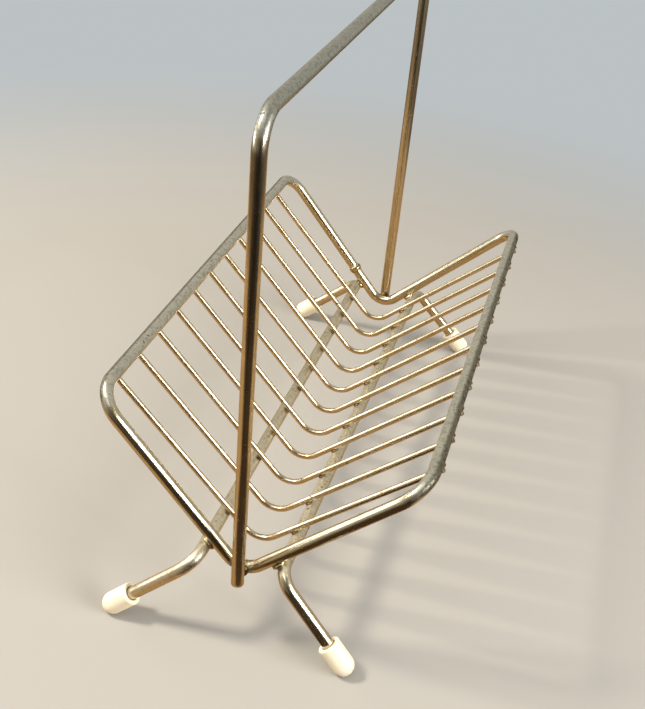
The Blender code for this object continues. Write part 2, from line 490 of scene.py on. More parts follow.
@dataclass(frozen=True)
class Measures:
    """The rack's driving sizes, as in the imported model, and the places that follow from them."""

    half_length: float
    wire_places: tuple[float, ...]
    rail_half_width: float = 0.078
    rail_height: float = 0.1145
    vee_height: float = 0.0325
    leg_half_spacing: float = 0.020
    leg_stagger: float = 0.004
    leg_run_out: float = 0.010
    foot_half_width: float = 0.0585
    foot_run_out: float = 0.0155
    hoop_height: float = 0.266
    hoop_tail: float = 0.0061
    hoop_lean: float = math.radians(2.5)
    wire_end_setback: float = 0.0003
    butt_weld_offset: float = 0.0115
    cap_wall: float = 0.0022
    cap_flat_depth: float = 0.0003

    @classmethod
    def read(cls, nodes: dict[str, Object]) -> "Measures":
        """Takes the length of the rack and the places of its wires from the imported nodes.

        Args:
            nodes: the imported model's nodes by name.

        Returns:
            The sizes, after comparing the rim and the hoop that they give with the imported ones.
        """
        wires = sorted(name for name in nodes if name.startswith("vee_wire_"))
        places = tuple((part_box(name)[0].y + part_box(name)[1].y) / 2 for name in wires)
        sizes = cls(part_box("rim_frame")[1].y - ROD_RADIUS, places)
        rim_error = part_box("rim_frame")[1].x - ROD_RADIUS - sizes.rail_half_width
        hoop_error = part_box("handle_hoop")[1].z - ROD_RADIUS - sizes.hoop_height
        LOG.info("rim differs by %.2f mm and hoop by %.2f mm from the frame", 1000 * rim_error, 1000 * hoop_error)
        return sizes

    @property
    def slope(self) -> float:
        """Angle of the rim's arms above the floor."""
        return math.atan2(self.rail_height - self.vee_height, self.rail_half_width)

    @property
    def vee_bottom(self) -> float:
        """Height of the rim's centre line in the middle of its V bend."""
        return self.vee_height + NARROW_RADIUS * (1 / math.cos(self.slope) - 1)

    def arm_point(self, distance: float, side: Side, end: End) -> Vector:
        """Point of an arm's centre line, measured up the arm from the point of the V."""
        across = side.value * distance * math.cos(self.slope)
        return Vector((across, end.value * self.half_length, self.vee_height + distance * math.sin(self.slope)))

    def arm_underside(self, side: Side) -> Vector:
        """Unit vector out of the trough, square to an arm."""
        return Vector((side.value * math.sin(self.slope), 0.0, -math.cos(self.slope)))

    @property
    def leg_distance(self) -> float:
        """How far up the arms the leg rods cross them."""
        return (self.leg_half_spacing - ROD_ON_ROD * math.sin(self.slope)) / math.cos(self.slope)

    @property
    def leg_height(self) -> float:
        """Height of the leg rods' level run."""
        crossing = self.arm_point(self.leg_distance, Side.RIGHT, End.BACK)
        return crossing.z + ROD_ON_ROD * self.arm_underside(Side.RIGHT).z

    @property
    def wire_direction(self) -> Vector:
        """Unit vector up the right half of a wire, from the leg rod under it to the rail over it."""
        span = Vector((self.rail_half_width - self.leg_half_spacing, 0.0, self.rail_height - self.leg_height))
        angle = math.atan2(span.z, span.x) - math.asin(2 * WIRE_ON_ROD / span.length)
        return Vector((math.cos(angle), 0.0, math.sin(angle)))

    @property
    def wire_underside(self) -> Vector:
        """Unit vector out of the trough, square to the right half of a wire."""
        return Vector((self.wire_direction.z, 0.0, -self.wire_direction.x))

    @property
    def cap_radius(self) -> float:
        """Outer radius of a cap."""
        return ROD_RADIUS + PIECE_GAP + self.cap_wall

    def foot_centre(self, side: Side, end: End) -> Vector:
        """Centre of a cap's round end."""
        reach = end.value * (self.half_length + self.foot_run_out) + side.value * self.leg_stagger
        return Vector((side.value * self.foot_half_width, reach, self.cap_radius - self.cap_flat_depth))

    def foot_bend(self, side: Side, end: End) -> Vector:
        """Corner of a leg rod's centre line outside the end frame."""
        reach = end.value * (self.half_length + self.leg_run_out) + side.value * self.leg_stagger
        return Vector((side.value * self.leg_half_spacing, reach, self.leg_height))


@dataclass(frozen=True)
class Finish:
    """What every finish has: a name, and nodes laid round its main shader."""

    name: str

    def material(self) -> Material:
        """Makes the material and lays its nodes.

        Returns:
            The finished material.
        """
        made = bpy.data.materials.new(self.name)
        made.use_nodes = True
        self.lay_nodes(made.node_tree, made.node_tree.nodes["Principled BSDF"])
        return made

    def lay_nodes(self, tree: NodeTree, shader: Node) -> None:
        """Fills the shader's inputs, and lays the nodes that feed them.

        Args:
            tree: the material's nodes.
            shader: its main shader.
        """
        raise NotImplementedError


@dataclass(frozen=True)
class BrassPlatedSteel(Finish):
    """Bright brass flash on drawn mild steel rod.

    It mirrors its surroundings in a soft, pale gold, browned in streaks along the stock. Where the rod lies
    level its upper face has lost the lacquer and gone to a dull olive grey, pricked with brown pits. Pits and
    darker grey both gather on the rack's outer flanks, the darker grey partly corrosion and partly painted
    shade. Heat has browned it at the welds, and the same brown is laid as painted shade on the rim where
    the hoop leg stands in front of its V.
    """

    bright: str = "#dfd9c4"
    deep: str = "#b9a67c"
    tarnish: str = "#58452a"
    tarnish_amount: float = 0.5
    dull: str = "#c9c6b6"
    dull_dark: str = "#5f5b4a"
    pit: str = "#2e2113"
    # Brown of weld marks, also laid as painted shade on the rim's front V
    soot_and_shade: str = "#35291a"
    gloss: float = 0.18
    dull_roughness: float = 0.38
    relief: float = 0.00006
    pit_onset: float = 0.66
    pit_amount: float = 0.75
    pit_edge: float = 0.09
    flank_reach: float = 0.07

    def lay_nodes(self, tree: NodeTree, shader: Node) -> None:
        """Lays the patterns, then the colours, the roughness and the relief that they give.

        Args:
            tree: the material's nodes.
            shader: its main shader.
        """
        place = add_node(tree, "TexCoord", output="Object")
        facing = place.node.outputs["Normal"]
        stock = add_node(tree, "Attribute", output="Vector", attribute_name="stock")
        lying = add_node(tree, "Attribute", output="Fac", attribute_name="lying")
        heat_and_shade = add_node(tree, "Attribute", output="Fac", attribute_name="weld")

        # Cloudy patches, die lines drawn out along the stock, a fine grain, and spots: where each is laid, its
        # width in millimetres, its detail and its roughness
        drawn = add_node(tree, "Mapping", {"Vector": stock, "Scale": (1.0, 1.0, 0.05)})
        cloud, lines, grain, spots = (
            add_node(tree, "TexNoise", {"Vector": way, "Scale": per_metre(width), "Detail": detail, "Roughness": rough})
            for way, width, detail, rough in (
                (place, 11, 4.0, 0.6),
                (drawn, 1.1, 3.0, 0.5),
                (place, 0.8, 2.0, 0.5),
                (place, 2.2, 3.0, 0.65),
            )
        )

        # The dull skin spreads from the upward faces, with a ragged edge
        ragged = add_node(tree, "Math", {0: cloud, 1: 0.9, 2: lying}, operation="MULTIPLY_ADD")
        frayed = add_node(tree, "Math", {0: grain, 1: 0.5, 2: ragged}, operation="MULTIPLY_ADD")
        dulled = add_node(tree, "MapRange", {"Value": frayed, "From Min": 0.85, "From Max": 1.55}, **EASED)

        # Pits crowd where the skin is dull, most of all on the outer flanks, and are rare on the bright plating
        sideways = add_node(tree, "VectorMath", {0: facing, 1: (1.0, 0.0, 0.0)}, operation="MULTIPLY")
        outward = add_node(tree, "VectorMath", {0: sideways, 1: place}, "Value", operation="DOT_PRODUCT")
        flank = add_node(tree, "MapRange", {"Value": outward, "From Max": self.flank_reach, "To Max": 0.11})
        rusty = add_node(tree, "Math", {0: flank, 1: 0.07}, operation="ADD")
        likely = add_node(tree, "Math", {0: dulled, 1: rusty, 2: spots}, operation="MULTIPLY_ADD")
        pits = {"Value": likely, "From Min": self.pit_onset, "From Max": self.pit_onset + self.pit_edge}
        pitted = add_node(tree, "MapRange", {**pits, "To Max": self.pit_amount}, **EASED)

        # Scorching is patchy, and strongest at the weld. The same mask lays a painted shade on the rim's front V, where
        # the hoop leg stands before it
        scorch_and_shade = add_node(tree, "Math", {0: heat_and_shade, 1: spots}, operation="MULTIPLY")
        scorches_and_shade = {"Value": scorch_and_shade, "From Min": 0.16, "From Max": 0.45, "To Max": 0.85}
        scorched_and_shaded = add_node(tree, "MapRange", scorches_and_shade, **EASED)

        # Plating and dull skin, each in two tones
        gold = add_node(tree, "Mix", {SHARE: cloud, FIRST: linear(self.bright), SECOND: linear(self.deep)}, **COLOURS)
        mottle = add_node(tree, "Math", {0: lines, 1: 1.4, 2: spots}, operation="MULTIPLY_ADD")
        # Outer flanks darken the dull skin: partly corrosion, partly painted shade
        mottled_and_shaded = add_node(tree, "Math", {0: flank, 1: -6.0, 2: mottle}, operation="MULTIPLY_ADD")
        pale = add_node(tree, "MapRange", {"Value": mottled_and_shaded, "From Min": 0.85, "From Max": 1.5})
        skin = add_node(tree, "Mix", {SHARE: pale, FIRST: linear(self.dull_dark), SECOND: linear(self.dull)}, **COLOURS)
        streaks = {"Value": lines, "From Min": 0.46, "From Max": 0.64, "To Max": self.tarnish_amount}
        streaked = add_node(tree, "MapRange", streaks)

        # Each of these covers what came before it
        colour = gold
        for share, tone in (
            (streaked, linear(self.tarnish)),
            (dulled, skin),
            (pitted, linear(self.pit)),
            (scorched_and_shaded, linear(self.soot_and_shade)),
        ):
            colour = add_node(tree, "Mix", {SHARE: share, FIRST: colour, SECOND: tone}, **COLOURS)

        # Dull skin and weld-browned metal mirror less, and the die lines, pits and browned marks are rougher; at the
        # rim's front V the browned marks are partly painted shade
        bare = add_node(tree, "MapRange", {"Value": dulled, "To Min": 1.0, "To Max": 0.7})
        metal = add_node(tree, "Math", {0: scorched_and_shaded, 1: -0.4, 2: bare}, operation="MULTIPLY_ADD")
        polish = {"Value": lines, "From Min": 0.3, "From Max": 0.7, "To Min": self.gloss, "To Max": self.gloss + 0.12}
        smooth = add_node(tree, "MapRange", polish)
        rough = add_node(tree, "Mix", {SHARE: dulled, 2: smooth, 3: self.dull_roughness}, data_type="FLOAT")
        marred = add_node(tree, "Math", {0: pitted, 1: scorched_and_shaded}, operation="ADD")
        rougher = add_node(tree, "Math", {0: marred, 1: 0.3, 2: rough}, operation="MULTIPLY_ADD")

        # Relief: the grain of the dull skin, the die lines, and the pits sunk below both
        grained = add_node(tree, "Math", {0: grain, 1: dulled}, operation="MULTIPLY")
        raised = add_node(tree, "Math", {0: lines, 1: 0.35, 2: grained}, operation="MULTIPLY_ADD")
        height = add_node(tree, "Math", {0: pitted, 1: -1.2, 2: raised}, operation="MULTIPLY_ADD")
        bump = add_node(tree, "Bump", {"Height": height, "Strength": 0.5, "Distance": self.relief})

        fill(tree, shader, {"Base Color": colour, "Metallic": metal, "Roughness": rougher, "Normal": bump})


@dataclass(frozen=True)
class WeldMetal(Finish):
    """Bare resistance-weld upset, plated over with the rod: lumpy, with brown heat stain in its hollows."""

    bright: str = "#b3a57f"
    stain: str = "#4a3822"
    roughness: float = 0.28
    relief: float = 0.0003

    def lay_nodes(self, tree: NodeTree, shader: Node) -> None:
        """Lays lumps 1.6 mm across, with the stain on them.

        Args:
            tree: the material's nodes.
            shader: its main shader.
        """
        place = add_node(tree, "TexCoord", output="Object")
        lumps = add_node(tree, "TexNoise", {"Vector": place, "Scale": per_metre(1.6), "Detail": 4.0})
        stained = add_node(tree, "MapRange", {"Value": lumps, "From Min": 0.55, "From Max": 0.7}, **EASED)
        tones = {SHARE: stained, FIRST: linear(self.bright), SECOND: linear(self.stain)}
        colour = add_node(tree, "Mix", tones, **COLOURS)
        finest, coarsest = self.roughness, self.roughness + 0.25
        rough = add_node(tree, "MapRange", {"Value": stained, "To Min": finest, "To Max": coarsest})
        bump = add_node(tree, "Bump", {"Height": lumps, "Strength": 0.6, "Distance": self.relief})
        fill(tree, shader, {"Base Color": colour, "Metallic": 1.0, "Roughness": rough, "Normal": bump})


@dataclass(frozen=True)
class DippedVinyl(Finish):
    """Soft PVC slipped over the rod's end: ivory, waxy, a little yellowed, grey where it rubs the table."""

    ivory: str = "#f6eeda"
    yellowed: str = "#eddcb8"
    grime: str = "#8d7c62"
    grime_top: float = 0.003
    roughness: float = 0.38
    relief: float = 0.0004

    def lay_nodes(self, tree: NodeTree, shader: Node) -> None:
        """Lays clouds 7 mm across, scuffs of 1.4 mm, and the grime, which fades out a little above the table.

        Args:
            tree: the material's nodes.
            shader: its main shader.
        """
        place = add_node(tree, "TexCoord", output="Object")
        cloud = add_node(tree, "TexNoise", {"Vector": place, "Scale": per_metre(7), "Detail": 3.0})
        scuffs = add_node(tree, "TexNoise", {"Vector": place, "Scale": per_metre(1.4), "Detail": 4.0})
        height = add_node(tree, "SeparateXYZ", {0: place}, "Z")
        low = add_node(tree, "MapRange", {"Value": height, "From Max": self.grime_top, "To Min": 1.0, "To Max": 0.0})
        dirt = add_node(tree, "Math", {0: low, 1: scuffs}, operation="MULTIPLY")
        tones = {SHARE: cloud, FIRST: linear(self.ivory), SECOND: linear(self.yellowed)}
        clean = add_node(tree, "Mix", tones, **COLOURS)
        colour = add_node(tree, "Mix", {SHARE: dirt, FIRST: clean, SECOND: linear(self.grime)}, **COLOURS)
        finest, coarsest = self.roughness - 0.06, self.roughness + 0.12
        rough = add_node(tree, "MapRange", {"Value": scuffs, "To Min": finest, "To Max": coarsest})
        bump = add_node(tree, "Bump", {"Height": cloud, "Strength": 0.15, "Distance": self.relief})
        waxy = {"Subsurface Weight": 0.12, "Subsurface Radius": (0.004, 0.003, 0.002), "Subsurface Scale": 0.3}
        fill(tree, shader, {"Base Color": colour, "Roughness": rough, "Normal": bump, "IOR": 1.53, **waxy})


@dataclass(frozen=True)
class PaintedFloor(Finish):
    """Matt emulsion: warm grey under the rack, running out into the evenly lit pale grey of the studio."""

    near: str = "#9e9a93"
    far: str = STUDIO_GREY
    near_edge: float = 0.28
    far_edge: float = 0.75

    def lay_nodes(self, tree: NodeTree, shader: Node) -> None:
        """Fades the lit paint into an even glow with the distance from the rack.

        Args:
            tree: the material's nodes.
            shader: its main shader.
        """
        place = add_node(tree, "TexCoord", output="Object")
        away = add_node(tree, "VectorMath", {0: place}, "Value", operation="LENGTH")
        ramp = {"Value": away, "From Min": self.near_edge, "From Max": self.far_edge}
        share = add_node(tree, "MapRange", ramp, **EASED)
        glow = add_node(tree, "Emission", {"Color": linear(self.far)})
        both = add_node(tree, "MixShader", {0: share, 1: shader.outputs[0], 2: glow})
        fill(tree, shader, {"Base Color": linear(self.near), "Roughness": 0.85})
        fill(tree, tree.nodes["Material Output"], {"Surface": both})


@dataclass(frozen=True)
class TanBoard(Finish):
    """Raw tan board, with broad darker bands as in planks, which warms the metal's reflections."""

    light: str = "#bb9a6c"
    dark: str = "#6b4f2e"

    def lay_nodes(self, tree: NodeTree, shader: Node) -> None:
        """Lays bands 22 mm wide, drawn out along the board.

        Args:
            tree: the material's nodes.
            shader: its main shader.
        """
        place = add_node(tree, "TexCoord", output="Object")
        drawn = add_node(tree, "Mapping", {"Vector": place, "Scale": (0.12, 1.0, 1.0)})
        bands = add_node(tree, "TexNoise", {"Vector": drawn, "Scale": per_metre(22), "Detail": 4.0})
        colour = add_node(tree, "Mix", {SHARE: bands, FIRST: linear(self.light), SECOND: linear(self.dark)}, **COLOURS)
        fill(tree, shader, {"Base Color": colour, "Roughness": 0.9})


@dataclass(frozen=True)
class DarkCloth(Finish):
    """Dark duvetyne, which gives the metal a dark side to mirror."""

    tone: str

    def lay_nodes(self, tree: NodeTree, shader: Node) -> None:
        """Sets the cloth's one tone, with no shine.

        Args:
            tree: the material's nodes.
            shader: its main shader.
        """
        fill(tree, shader, {"Base Color": linear(self.tone), "Roughness": 1.0, "Specular IOR Level": 0.0})


@dataclass
class Rim:
    """The rim: one rod bent into two V ends and two rails, and butt-welded on its back left arm."""

    sizes: Measures
    ridge_height: float = 0.0011
    ridge_length: float = 0.0046
    ridge_sink: float = 0.0002
    ridge_steps: int = 8
    ridge_sides: int = 28
    ridge_lumps: float = 0.00018
    heat_reach: float = 0.006
    # Reach of the dark mark on the front V: partly weld burn, partly painted shade of the crevice by the hoop leg
    scorch_and_shade_reach: float = 0.014

    def rod(self) -> Rod:
        """Lays out the closed loop.

        Returns:
            The rim's rod, from the back end of the right rail round by the front.
        """
        half, width, top = self.sizes.half_length, self.sizes.rail_half_width, self.sizes.rail_height
        corners = [
            Vector((width, half, top)),
            Vector((width, -half, top)),
            Vector((0.0, -half, self.sizes.vee_height)),
            Vector((-width, -half, top)),
            Vector((-width, half, top)),
            Vector((0.0, half, self.sizes.vee_height)),
        ]
        radii = [CORNER_RADIUS, NARROW_RADIUS, CORNER_RADIUS, CORNER_RADIUS, NARROW_RADIUS, CORNER_RADIUS]
        return Rod(corners, radii, closed=True)

    def build(self, finish: Material, weld_finish: Material, welds: list[Vector]) -> None:
        """Makes the loop and the ridge of its butt weld.

        Args:
            finish: finish of the rod.
            weld_finish: finish of the ridge.
            welds: middles of the welds on the rod.
        """
        rod = self.rod()
        bar = rod.build()
        seam = self.sizes.arm_point(self.sizes.leg_distance + self.sizes.butt_weld_offset, Side.LEFT, End.BACK)
        # A wider dark mark round the front hoop weld: partly weld burn, partly painted shade of the crevice before the
        # hoop leg
        front = Vector((0.0, End.FRONT.value * self.sizes.half_length, self.sizes.vee_bottom))
        rod.mark(bar, [*welds, seam], self.heat_reach, scorches_and_shade=((front, self.scorch_and_shade_reach),))
        name_piece(bar, "rim_bar", Slot.ROD, finish, "rim_frame")
        self.build_ridge(seam, weld_finish)

    def build_ridge(self, seam: Vector, finish: Material) -> None:
        """Swells a ring of weld metal round the rod, rolled out and in again by extrusions.

        Args:
            seam: place of the butt weld on the rod's centre line.
            finish: finish of the ridge.
        """
        axis = self.sizes.arm_point(1.0, Side.LEFT, End.BACK) - self.sizes.arm_point(0.0, Side.LEFT, End.BACK)
        edge = radius = ROD_RADIUS - self.ridge_sink
        deselect_all()
        start = (0, 0, -self.ridge_length / 2)
        bpy.ops.mesh.primitive_circle_add(vertices=self.ridge_sides, radius=edge, location=start)
        ridge = bpy.context.object
        bpy.ops.object.transform_apply()
        with editing_all():
            for step in range(1, self.ridge_steps + 1):
                swell = math.sin(math.pi * step / self.ridge_steps) ** 0.7 if step < self.ridge_steps else 0.0
                target = edge + self.ridge_height * swell
                extrude((0, 0, self.ridge_length / self.ridge_steps))
                grow = target / radius
                bpy.ops.transform.resize(value=(grow, grow, 1.0), center_override=(0.0, 0.0, 0.0))
                radius = target
            bpy.ops.mesh.select_all(action="SELECT")
            bpy.ops.transform.vertex_random(offset=self.ridge_lumps, seed=7)
            bpy.ops.mesh.normals_make_consistent(inside=False)
        move_copy(ridge, seam, axis.to_track_quat("Z", "Y"))
        name_piece(ridge, "rim_seam_ridge", Slot.WELD, finish, "rim_butt_weld")


@dataclass
class Hoop:
    """The carrying hoop, whose legs stand outside the points of the two Vs."""

    sizes: Measures
    heat_reach: float = 0.008

    def lean(self, point: Vector) -> Vector:
        """Tips a point of the upright hoop about the rack's long axis."""
        pivot = Vector((0.0, 0.0, self.sizes.vee_height))
        return pivot + Quaternion((0.0, 1.0, 0.0), -self.sizes.hoop_lean) @ (point - pivot)

    def rod(self) -> Rod:
        """Lays out the hoop.

        Returns:
            Its rod, from the front foot over the bar to the back foot.
        """
        reach = self.sizes.half_length + ROD_ON_ROD
        foot = self.sizes.vee_bottom - self.sizes.hoop_tail
        upright = [
            Vector((0.0, -reach, foot)),
            Vector((0.0, -reach, self.sizes.hoop_height)),
            Vector((0.0, reach, self.sizes.hoop_height)),
            Vector((0.0, reach, foot)),
        ]
        return Rod([self.lean(point) for point in upright], [CORNER_RADIUS, CORNER_RADIUS])

    def build(self, finish: Material, welds: list[Vector]) -> None:
        """Makes the hoop.

        Args:
            finish: finish of the rod.
            welds: middles of its two welds.
        """
        rod = self.rod()
        bar = rod.build()
        rod.mark(bar, welds, self.heat_reach)
        name_piece(bar, "hoop_bar", Slot.ROD, finish, "handle_hoop")


@dataclass
class LegRods:
    """The two rods under the trough, bent down and out into the feet, the left one the more worn."""

    sizes: Measures
    heat_reach: float = 0.0046
    left_wear: float = 0.5
    right_wear: float = 0.2
    level_from: float = 0.6

    def build(self, finish: Material, welds: list[Vector]) -> None:
        """Makes both leg rods.

        Args:
            finish: finish of the rods.
            welds: middles of the welds on both.
        """
        for side in Side:
            corners = [
                self.sizes.foot_centre(side, End.FRONT),
                self.sizes.foot_bend(side, End.FRONT),
                self.sizes.foot_bend(side, End.BACK),
                self.sizes.foot_centre(side, End.BACK),
            ]
            rod = Rod(corners, [NARROW_RADIUS, NARROW_RADIUS])
            bar = rod.build()
            near = [weld for weld in welds if weld.x * side.value > 0]
            worn = self.left_wear if side is Side.LEFT else self.right_wear
            rod.mark(bar, near, self.heat_reach, worn=worn, level_from=self.level_from)
            name = side.name.lower()
            name_piece(bar, f"leg_bar_{name}", Slot.ROD, finish, f"leg_rod_{name}")


@dataclass
class Wires:
    """The eleven V-shaped wires, sheared to length and welded under the rails and on the leg rods."""

    sizes: Measures
    heat_reach: float = 0.0046
    stock_step: float = 0.31

    def rod(self) -> Rod:
        """Lays out one wire.

        Returns:
            Its rod, in the plane Y = 0.
        """
        rail = Vector((self.sizes.rail_half_width, 0.0, self.sizes.rail_height))
        way = self.sizes.wire_direction
        tip = rail + WIRE_ON_ROD * self.sizes.wire_underside - self.sizes.wire_end_setback * way
        middle = tip.z - tip.x * way.z / way.x
        corners = [Vector((-tip.x, 0.0, tip.z)), Vector((0.0, 0.0, middle)), tip]
        return Rod(corners, [NARROW_RADIUS], radius=WIRE_RADIUS, sides=18, ring_step=0.002, chamfer=0.0003)

    def build(self, finish: Material, welds: list[Vector]) -> None:
        """Bends one wire and copies it along the rack.

        Args:
            finish: finish of the wires.
            welds: middles of the welds on the leg rods.
        """
        rod = self.rod()
        first = rod.build()
        for number, along in enumerate(self.sizes.wire_places, start=1):
            wire = bpy.data.objects.new(f"wire_{number:02d}", first.data.copy())
            bpy.context.scene.collection.objects.link(wire)
            hot = [weld - Vector((0.0, weld.y, 0.0)) for weld in welds if abs(weld.y - along) < WIRE_RADIUS]
            hot += [rod.corners[0], rod.corners[-1]]
            rod.mark(wire, hot, self.heat_reach, shift=self.stock_step * number, skin=0.0)
            wire.data.transform(Matrix.Translation((0.0, along, 0.0)))
            name_piece(wire, f"trough_wire_{number:02d}", Slot.WIRE, finish, f"vee_wire_{number:02d}")
        bpy.data.objects.remove(first)


@dataclass
class FootCap:
    """A bullet-shaped cap with a thin open mouth, worn flat where it stands."""

    sizes: Measures
    length: float = 0.0185
    lip: float = 0.0006
    sides: int = 48
    sleeve_steps: int = 8

    def model(self) -> Object:
        """Cuts a ball in half, draws its rim up into a sleeve and turns it in over a bore.

        Returns:
            The cap, with its mouth up.
        """
        radius = self.sizes.cap_radius
        bore = radius - self.sizes.cap_wall
        sleeve = self.length - radius
        deselect_all()
        bpy.ops.mesh.primitive_uv_sphere_add(segments=self.sides, ring_count=self.sides // 2, radius=radius)
        cap = bpy.context.object
        bpy.context.tool_settings.mesh_select_mode = (True, False, False)
        with editing_all():
            bpy.ops.mesh.bisect(plane_co=(0, 0, 0), plane_no=(0, 0, 1), clear_outer=True)
            for _ in range(self.sleeve_steps):
                extrude((0, 0, sleeve / self.sleeve_steps))
            extrude((0, 0, 0))
            bpy.ops.transform.resize(value=(bore / radius, bore / radius, 1.0), center_override=(0, 0, sleeve))
            extrude((0, 0, -sleeve))
            bpy.ops.mesh.edge_face_add()

        def on_mouth(first: Vector, second: Vector) -> bool:
            """Says whether an edge runs round the mouth."""
            level = min(first.z, second.z) > sleeve - 1e-6
            round_it = abs(first.xy.length - second.xy.length) < 1e-6
            return level and round_it and (first - second).length < 0.3 * radius

        with editing_edges(cap, on_mouth):
            bpy.ops.mesh.bevel(offset=self.lip, segments=5, affect="EDGES")
            bpy.ops.mesh.select_all(action="SELECT")
            bpy.ops.mesh.normals_make_consistent(inside=False)
        return cap

    def build(self, finish: Material) -> None:
        """Places a cap on each foot and wears its sole flat.

        Args:
            finish: finish of the caps.
        """
        ground = {"plane_co": (0, 0, 0), "plane_no": (0, 0, 1)}
        for side in Side:
            for end in End:
                cap = self.model()
                centre = self.sizes.foot_centre(side, end)
                axis = self.sizes.foot_bend(side, end) - centre
                move_copy(cap, centre, axis.to_track_quat("Z", "Y"))
                with editing_all():
                    bpy.ops.mesh.bisect(**ground, clear_inner=True, use_fill=True, threshold=1e-6)
                name = f"{end.name.lower()}_{side.name.lower()}"
                name_piece(cap, f"vinyl_cap_{name}", Slot.CAP, finish, f"foot_cap_{name}")


@dataclass
class Welds:
    """Where rods touch, and the beads of upset metal that hold them."""

    sizes: Measures
    rod_bead: Vector
    wire_bead: Vector
    rod_bead_rings: int = 8
    wire_bead_rings: int = 6
    rod_seeds: int = 100
    lumpiness: float = 0.22

    def crossings(self) -> dict[str, tuple[Vector, Vector]]:
        """Finds the welds between rods.

        Returns:
            Place and facing of each, by CAD node.
        """
        found = {}
        for end in End:
            outward = Vector((0.0, end.value, 0.0))
            reach = self.sizes.half_length + ROD_RADIUS + PIECE_GAP / 2
            spot = Vector((0.0, end.value * reach, self.sizes.vee_bottom))
            found["handle_weld_" + end.name.lower()] = (spot, outward)
            for side in Side:
                outward = self.sizes.arm_underside(side)
                spot = self.sizes.arm_point(self.sizes.leg_distance, side, end)
                spot = spot + outward * (ROD_RADIUS + PIECE_GAP / 2)
                found[f"leg_weld_{end.name.lower()}_{side.name.lower()}"] = (spot, outward)
        return found

    def wire_spots(self) -> dict[str, list[tuple[Vector, Vector]]]:
        """Finds the welds on the wires.

        Returns:
            Places and facings along each rod, by the rod's name.
        """
        found = {}
        contact = ROD_RADIUS + PIECE_GAP / 2
        for side in Side:
            facing = self.sizes.wire_underside.copy()
            facing.x *= side.value
            rail = Vector((side.value * self.sizes.rail_half_width, 0.0, self.sizes.rail_height)) + facing * contact
            leg = Vector((side.value * self.sizes.leg_half_spacing, 0.0, self.sizes.leg_height)) - facing * contact
            name = side.name.lower()
            places = self.sizes.wire_places
            found["rail_" + name] = [(rail + Vector((0.0, along, 0.0)), facing) for along in places]
            found["leg_" + name] = [(leg + Vector((0.0, along, 0.0)), facing) for along in places]
        return found

    def spots(self, *names: str) -> list[Vector]:
        """Picks out the middles of some welds.

        Args:
            names: the words that the wanted welds' names start with.

        Returns:
            Their places.
        """
        every = {name: [spot] for name, (spot, _) in self.crossings().items()}
        every.update({name: [spot for spot, _ in places] for name, places in self.wire_spots().items()})
        return [spot for name, places in every.items() if name.startswith(names) for spot in places]

    def bead(self, size: Vector, seed: int, rings: int, spot: Vector, along: Vector, facing: Vector) -> Object:
        """Squashes a ball to the bead's size, gives it a few lumps and puts it on its joint.

        Args:
            size: half its extent across, along and out of the joint.
            seed: seed of its lumps.
            rings: rings of the ball.
            spot: where the bead goes.
            along: the way along the joint.
            facing: the way out of it.

        Returns:
            The bead.
        """
        deselect_all()
        bpy.ops.mesh.primitive_uv_sphere_add(segments=2 * rings, ring_count=rings, radius=1.0)
        bead = bpy.context.object
        with editing_all():
            bpy.ops.transform.resize(value=size)
            bpy.ops.transform.vertex_random(offset=size.z * self.lumpiness, seed=seed)
        modifier = bead.modifiers.new("rounded", "SUBSURF")
        modifier.levels = modifier.render_levels = 1
        bpy.ops.object.modifier_apply(modifier="rounded")
        move_copy(bead, spot, Matrix((along.cross(facing), along, facing)).transposed().to_quaternion())
        return bead

    def build(self, finish: Material, scorched_finish: Material) -> None:
        """Makes the beads between rods, then those of the wires, joined along each rod.

        Args:
            finish: finish of most of the beads.
            scorched_finish: darker finish, for the beads that hold the hoop and the wires.
        """
        lengthwise, upright = Vector((0.0, 1.0, 0.0)), Vector((0.0, 0.0, 1.0))
        for seed, (name, (spot, facing)) in enumerate(self.crossings().items()):
            on_hoop = name.startswith("handle")
            way = upright if on_hoop else lengthwise
            bead = self.bead(self.rod_bead, seed, self.rod_bead_rings, spot, way, facing)
            metal = scorched_finish if on_hoop else finish
            name_piece(bead, name.replace("weld", "bead"), Slot.WELD, metal, name)
        for row, (name, places) in enumerate(self.wire_spots().items()):
            beads = [
                self.bead(self.wire_bead, seed, self.wire_bead_rings, spot, lengthwise, facing)
                for seed, (spot, facing) in enumerate(places, start=self.rod_seeds * row)
            ]
            pick(beads[0])
            for bead in beads:
                bead.select_set(True)
            bpy.ops.object.join()
            name_piece(beads[0], f"wire_beads_{name}", Slot.WELD, scorched_finish)


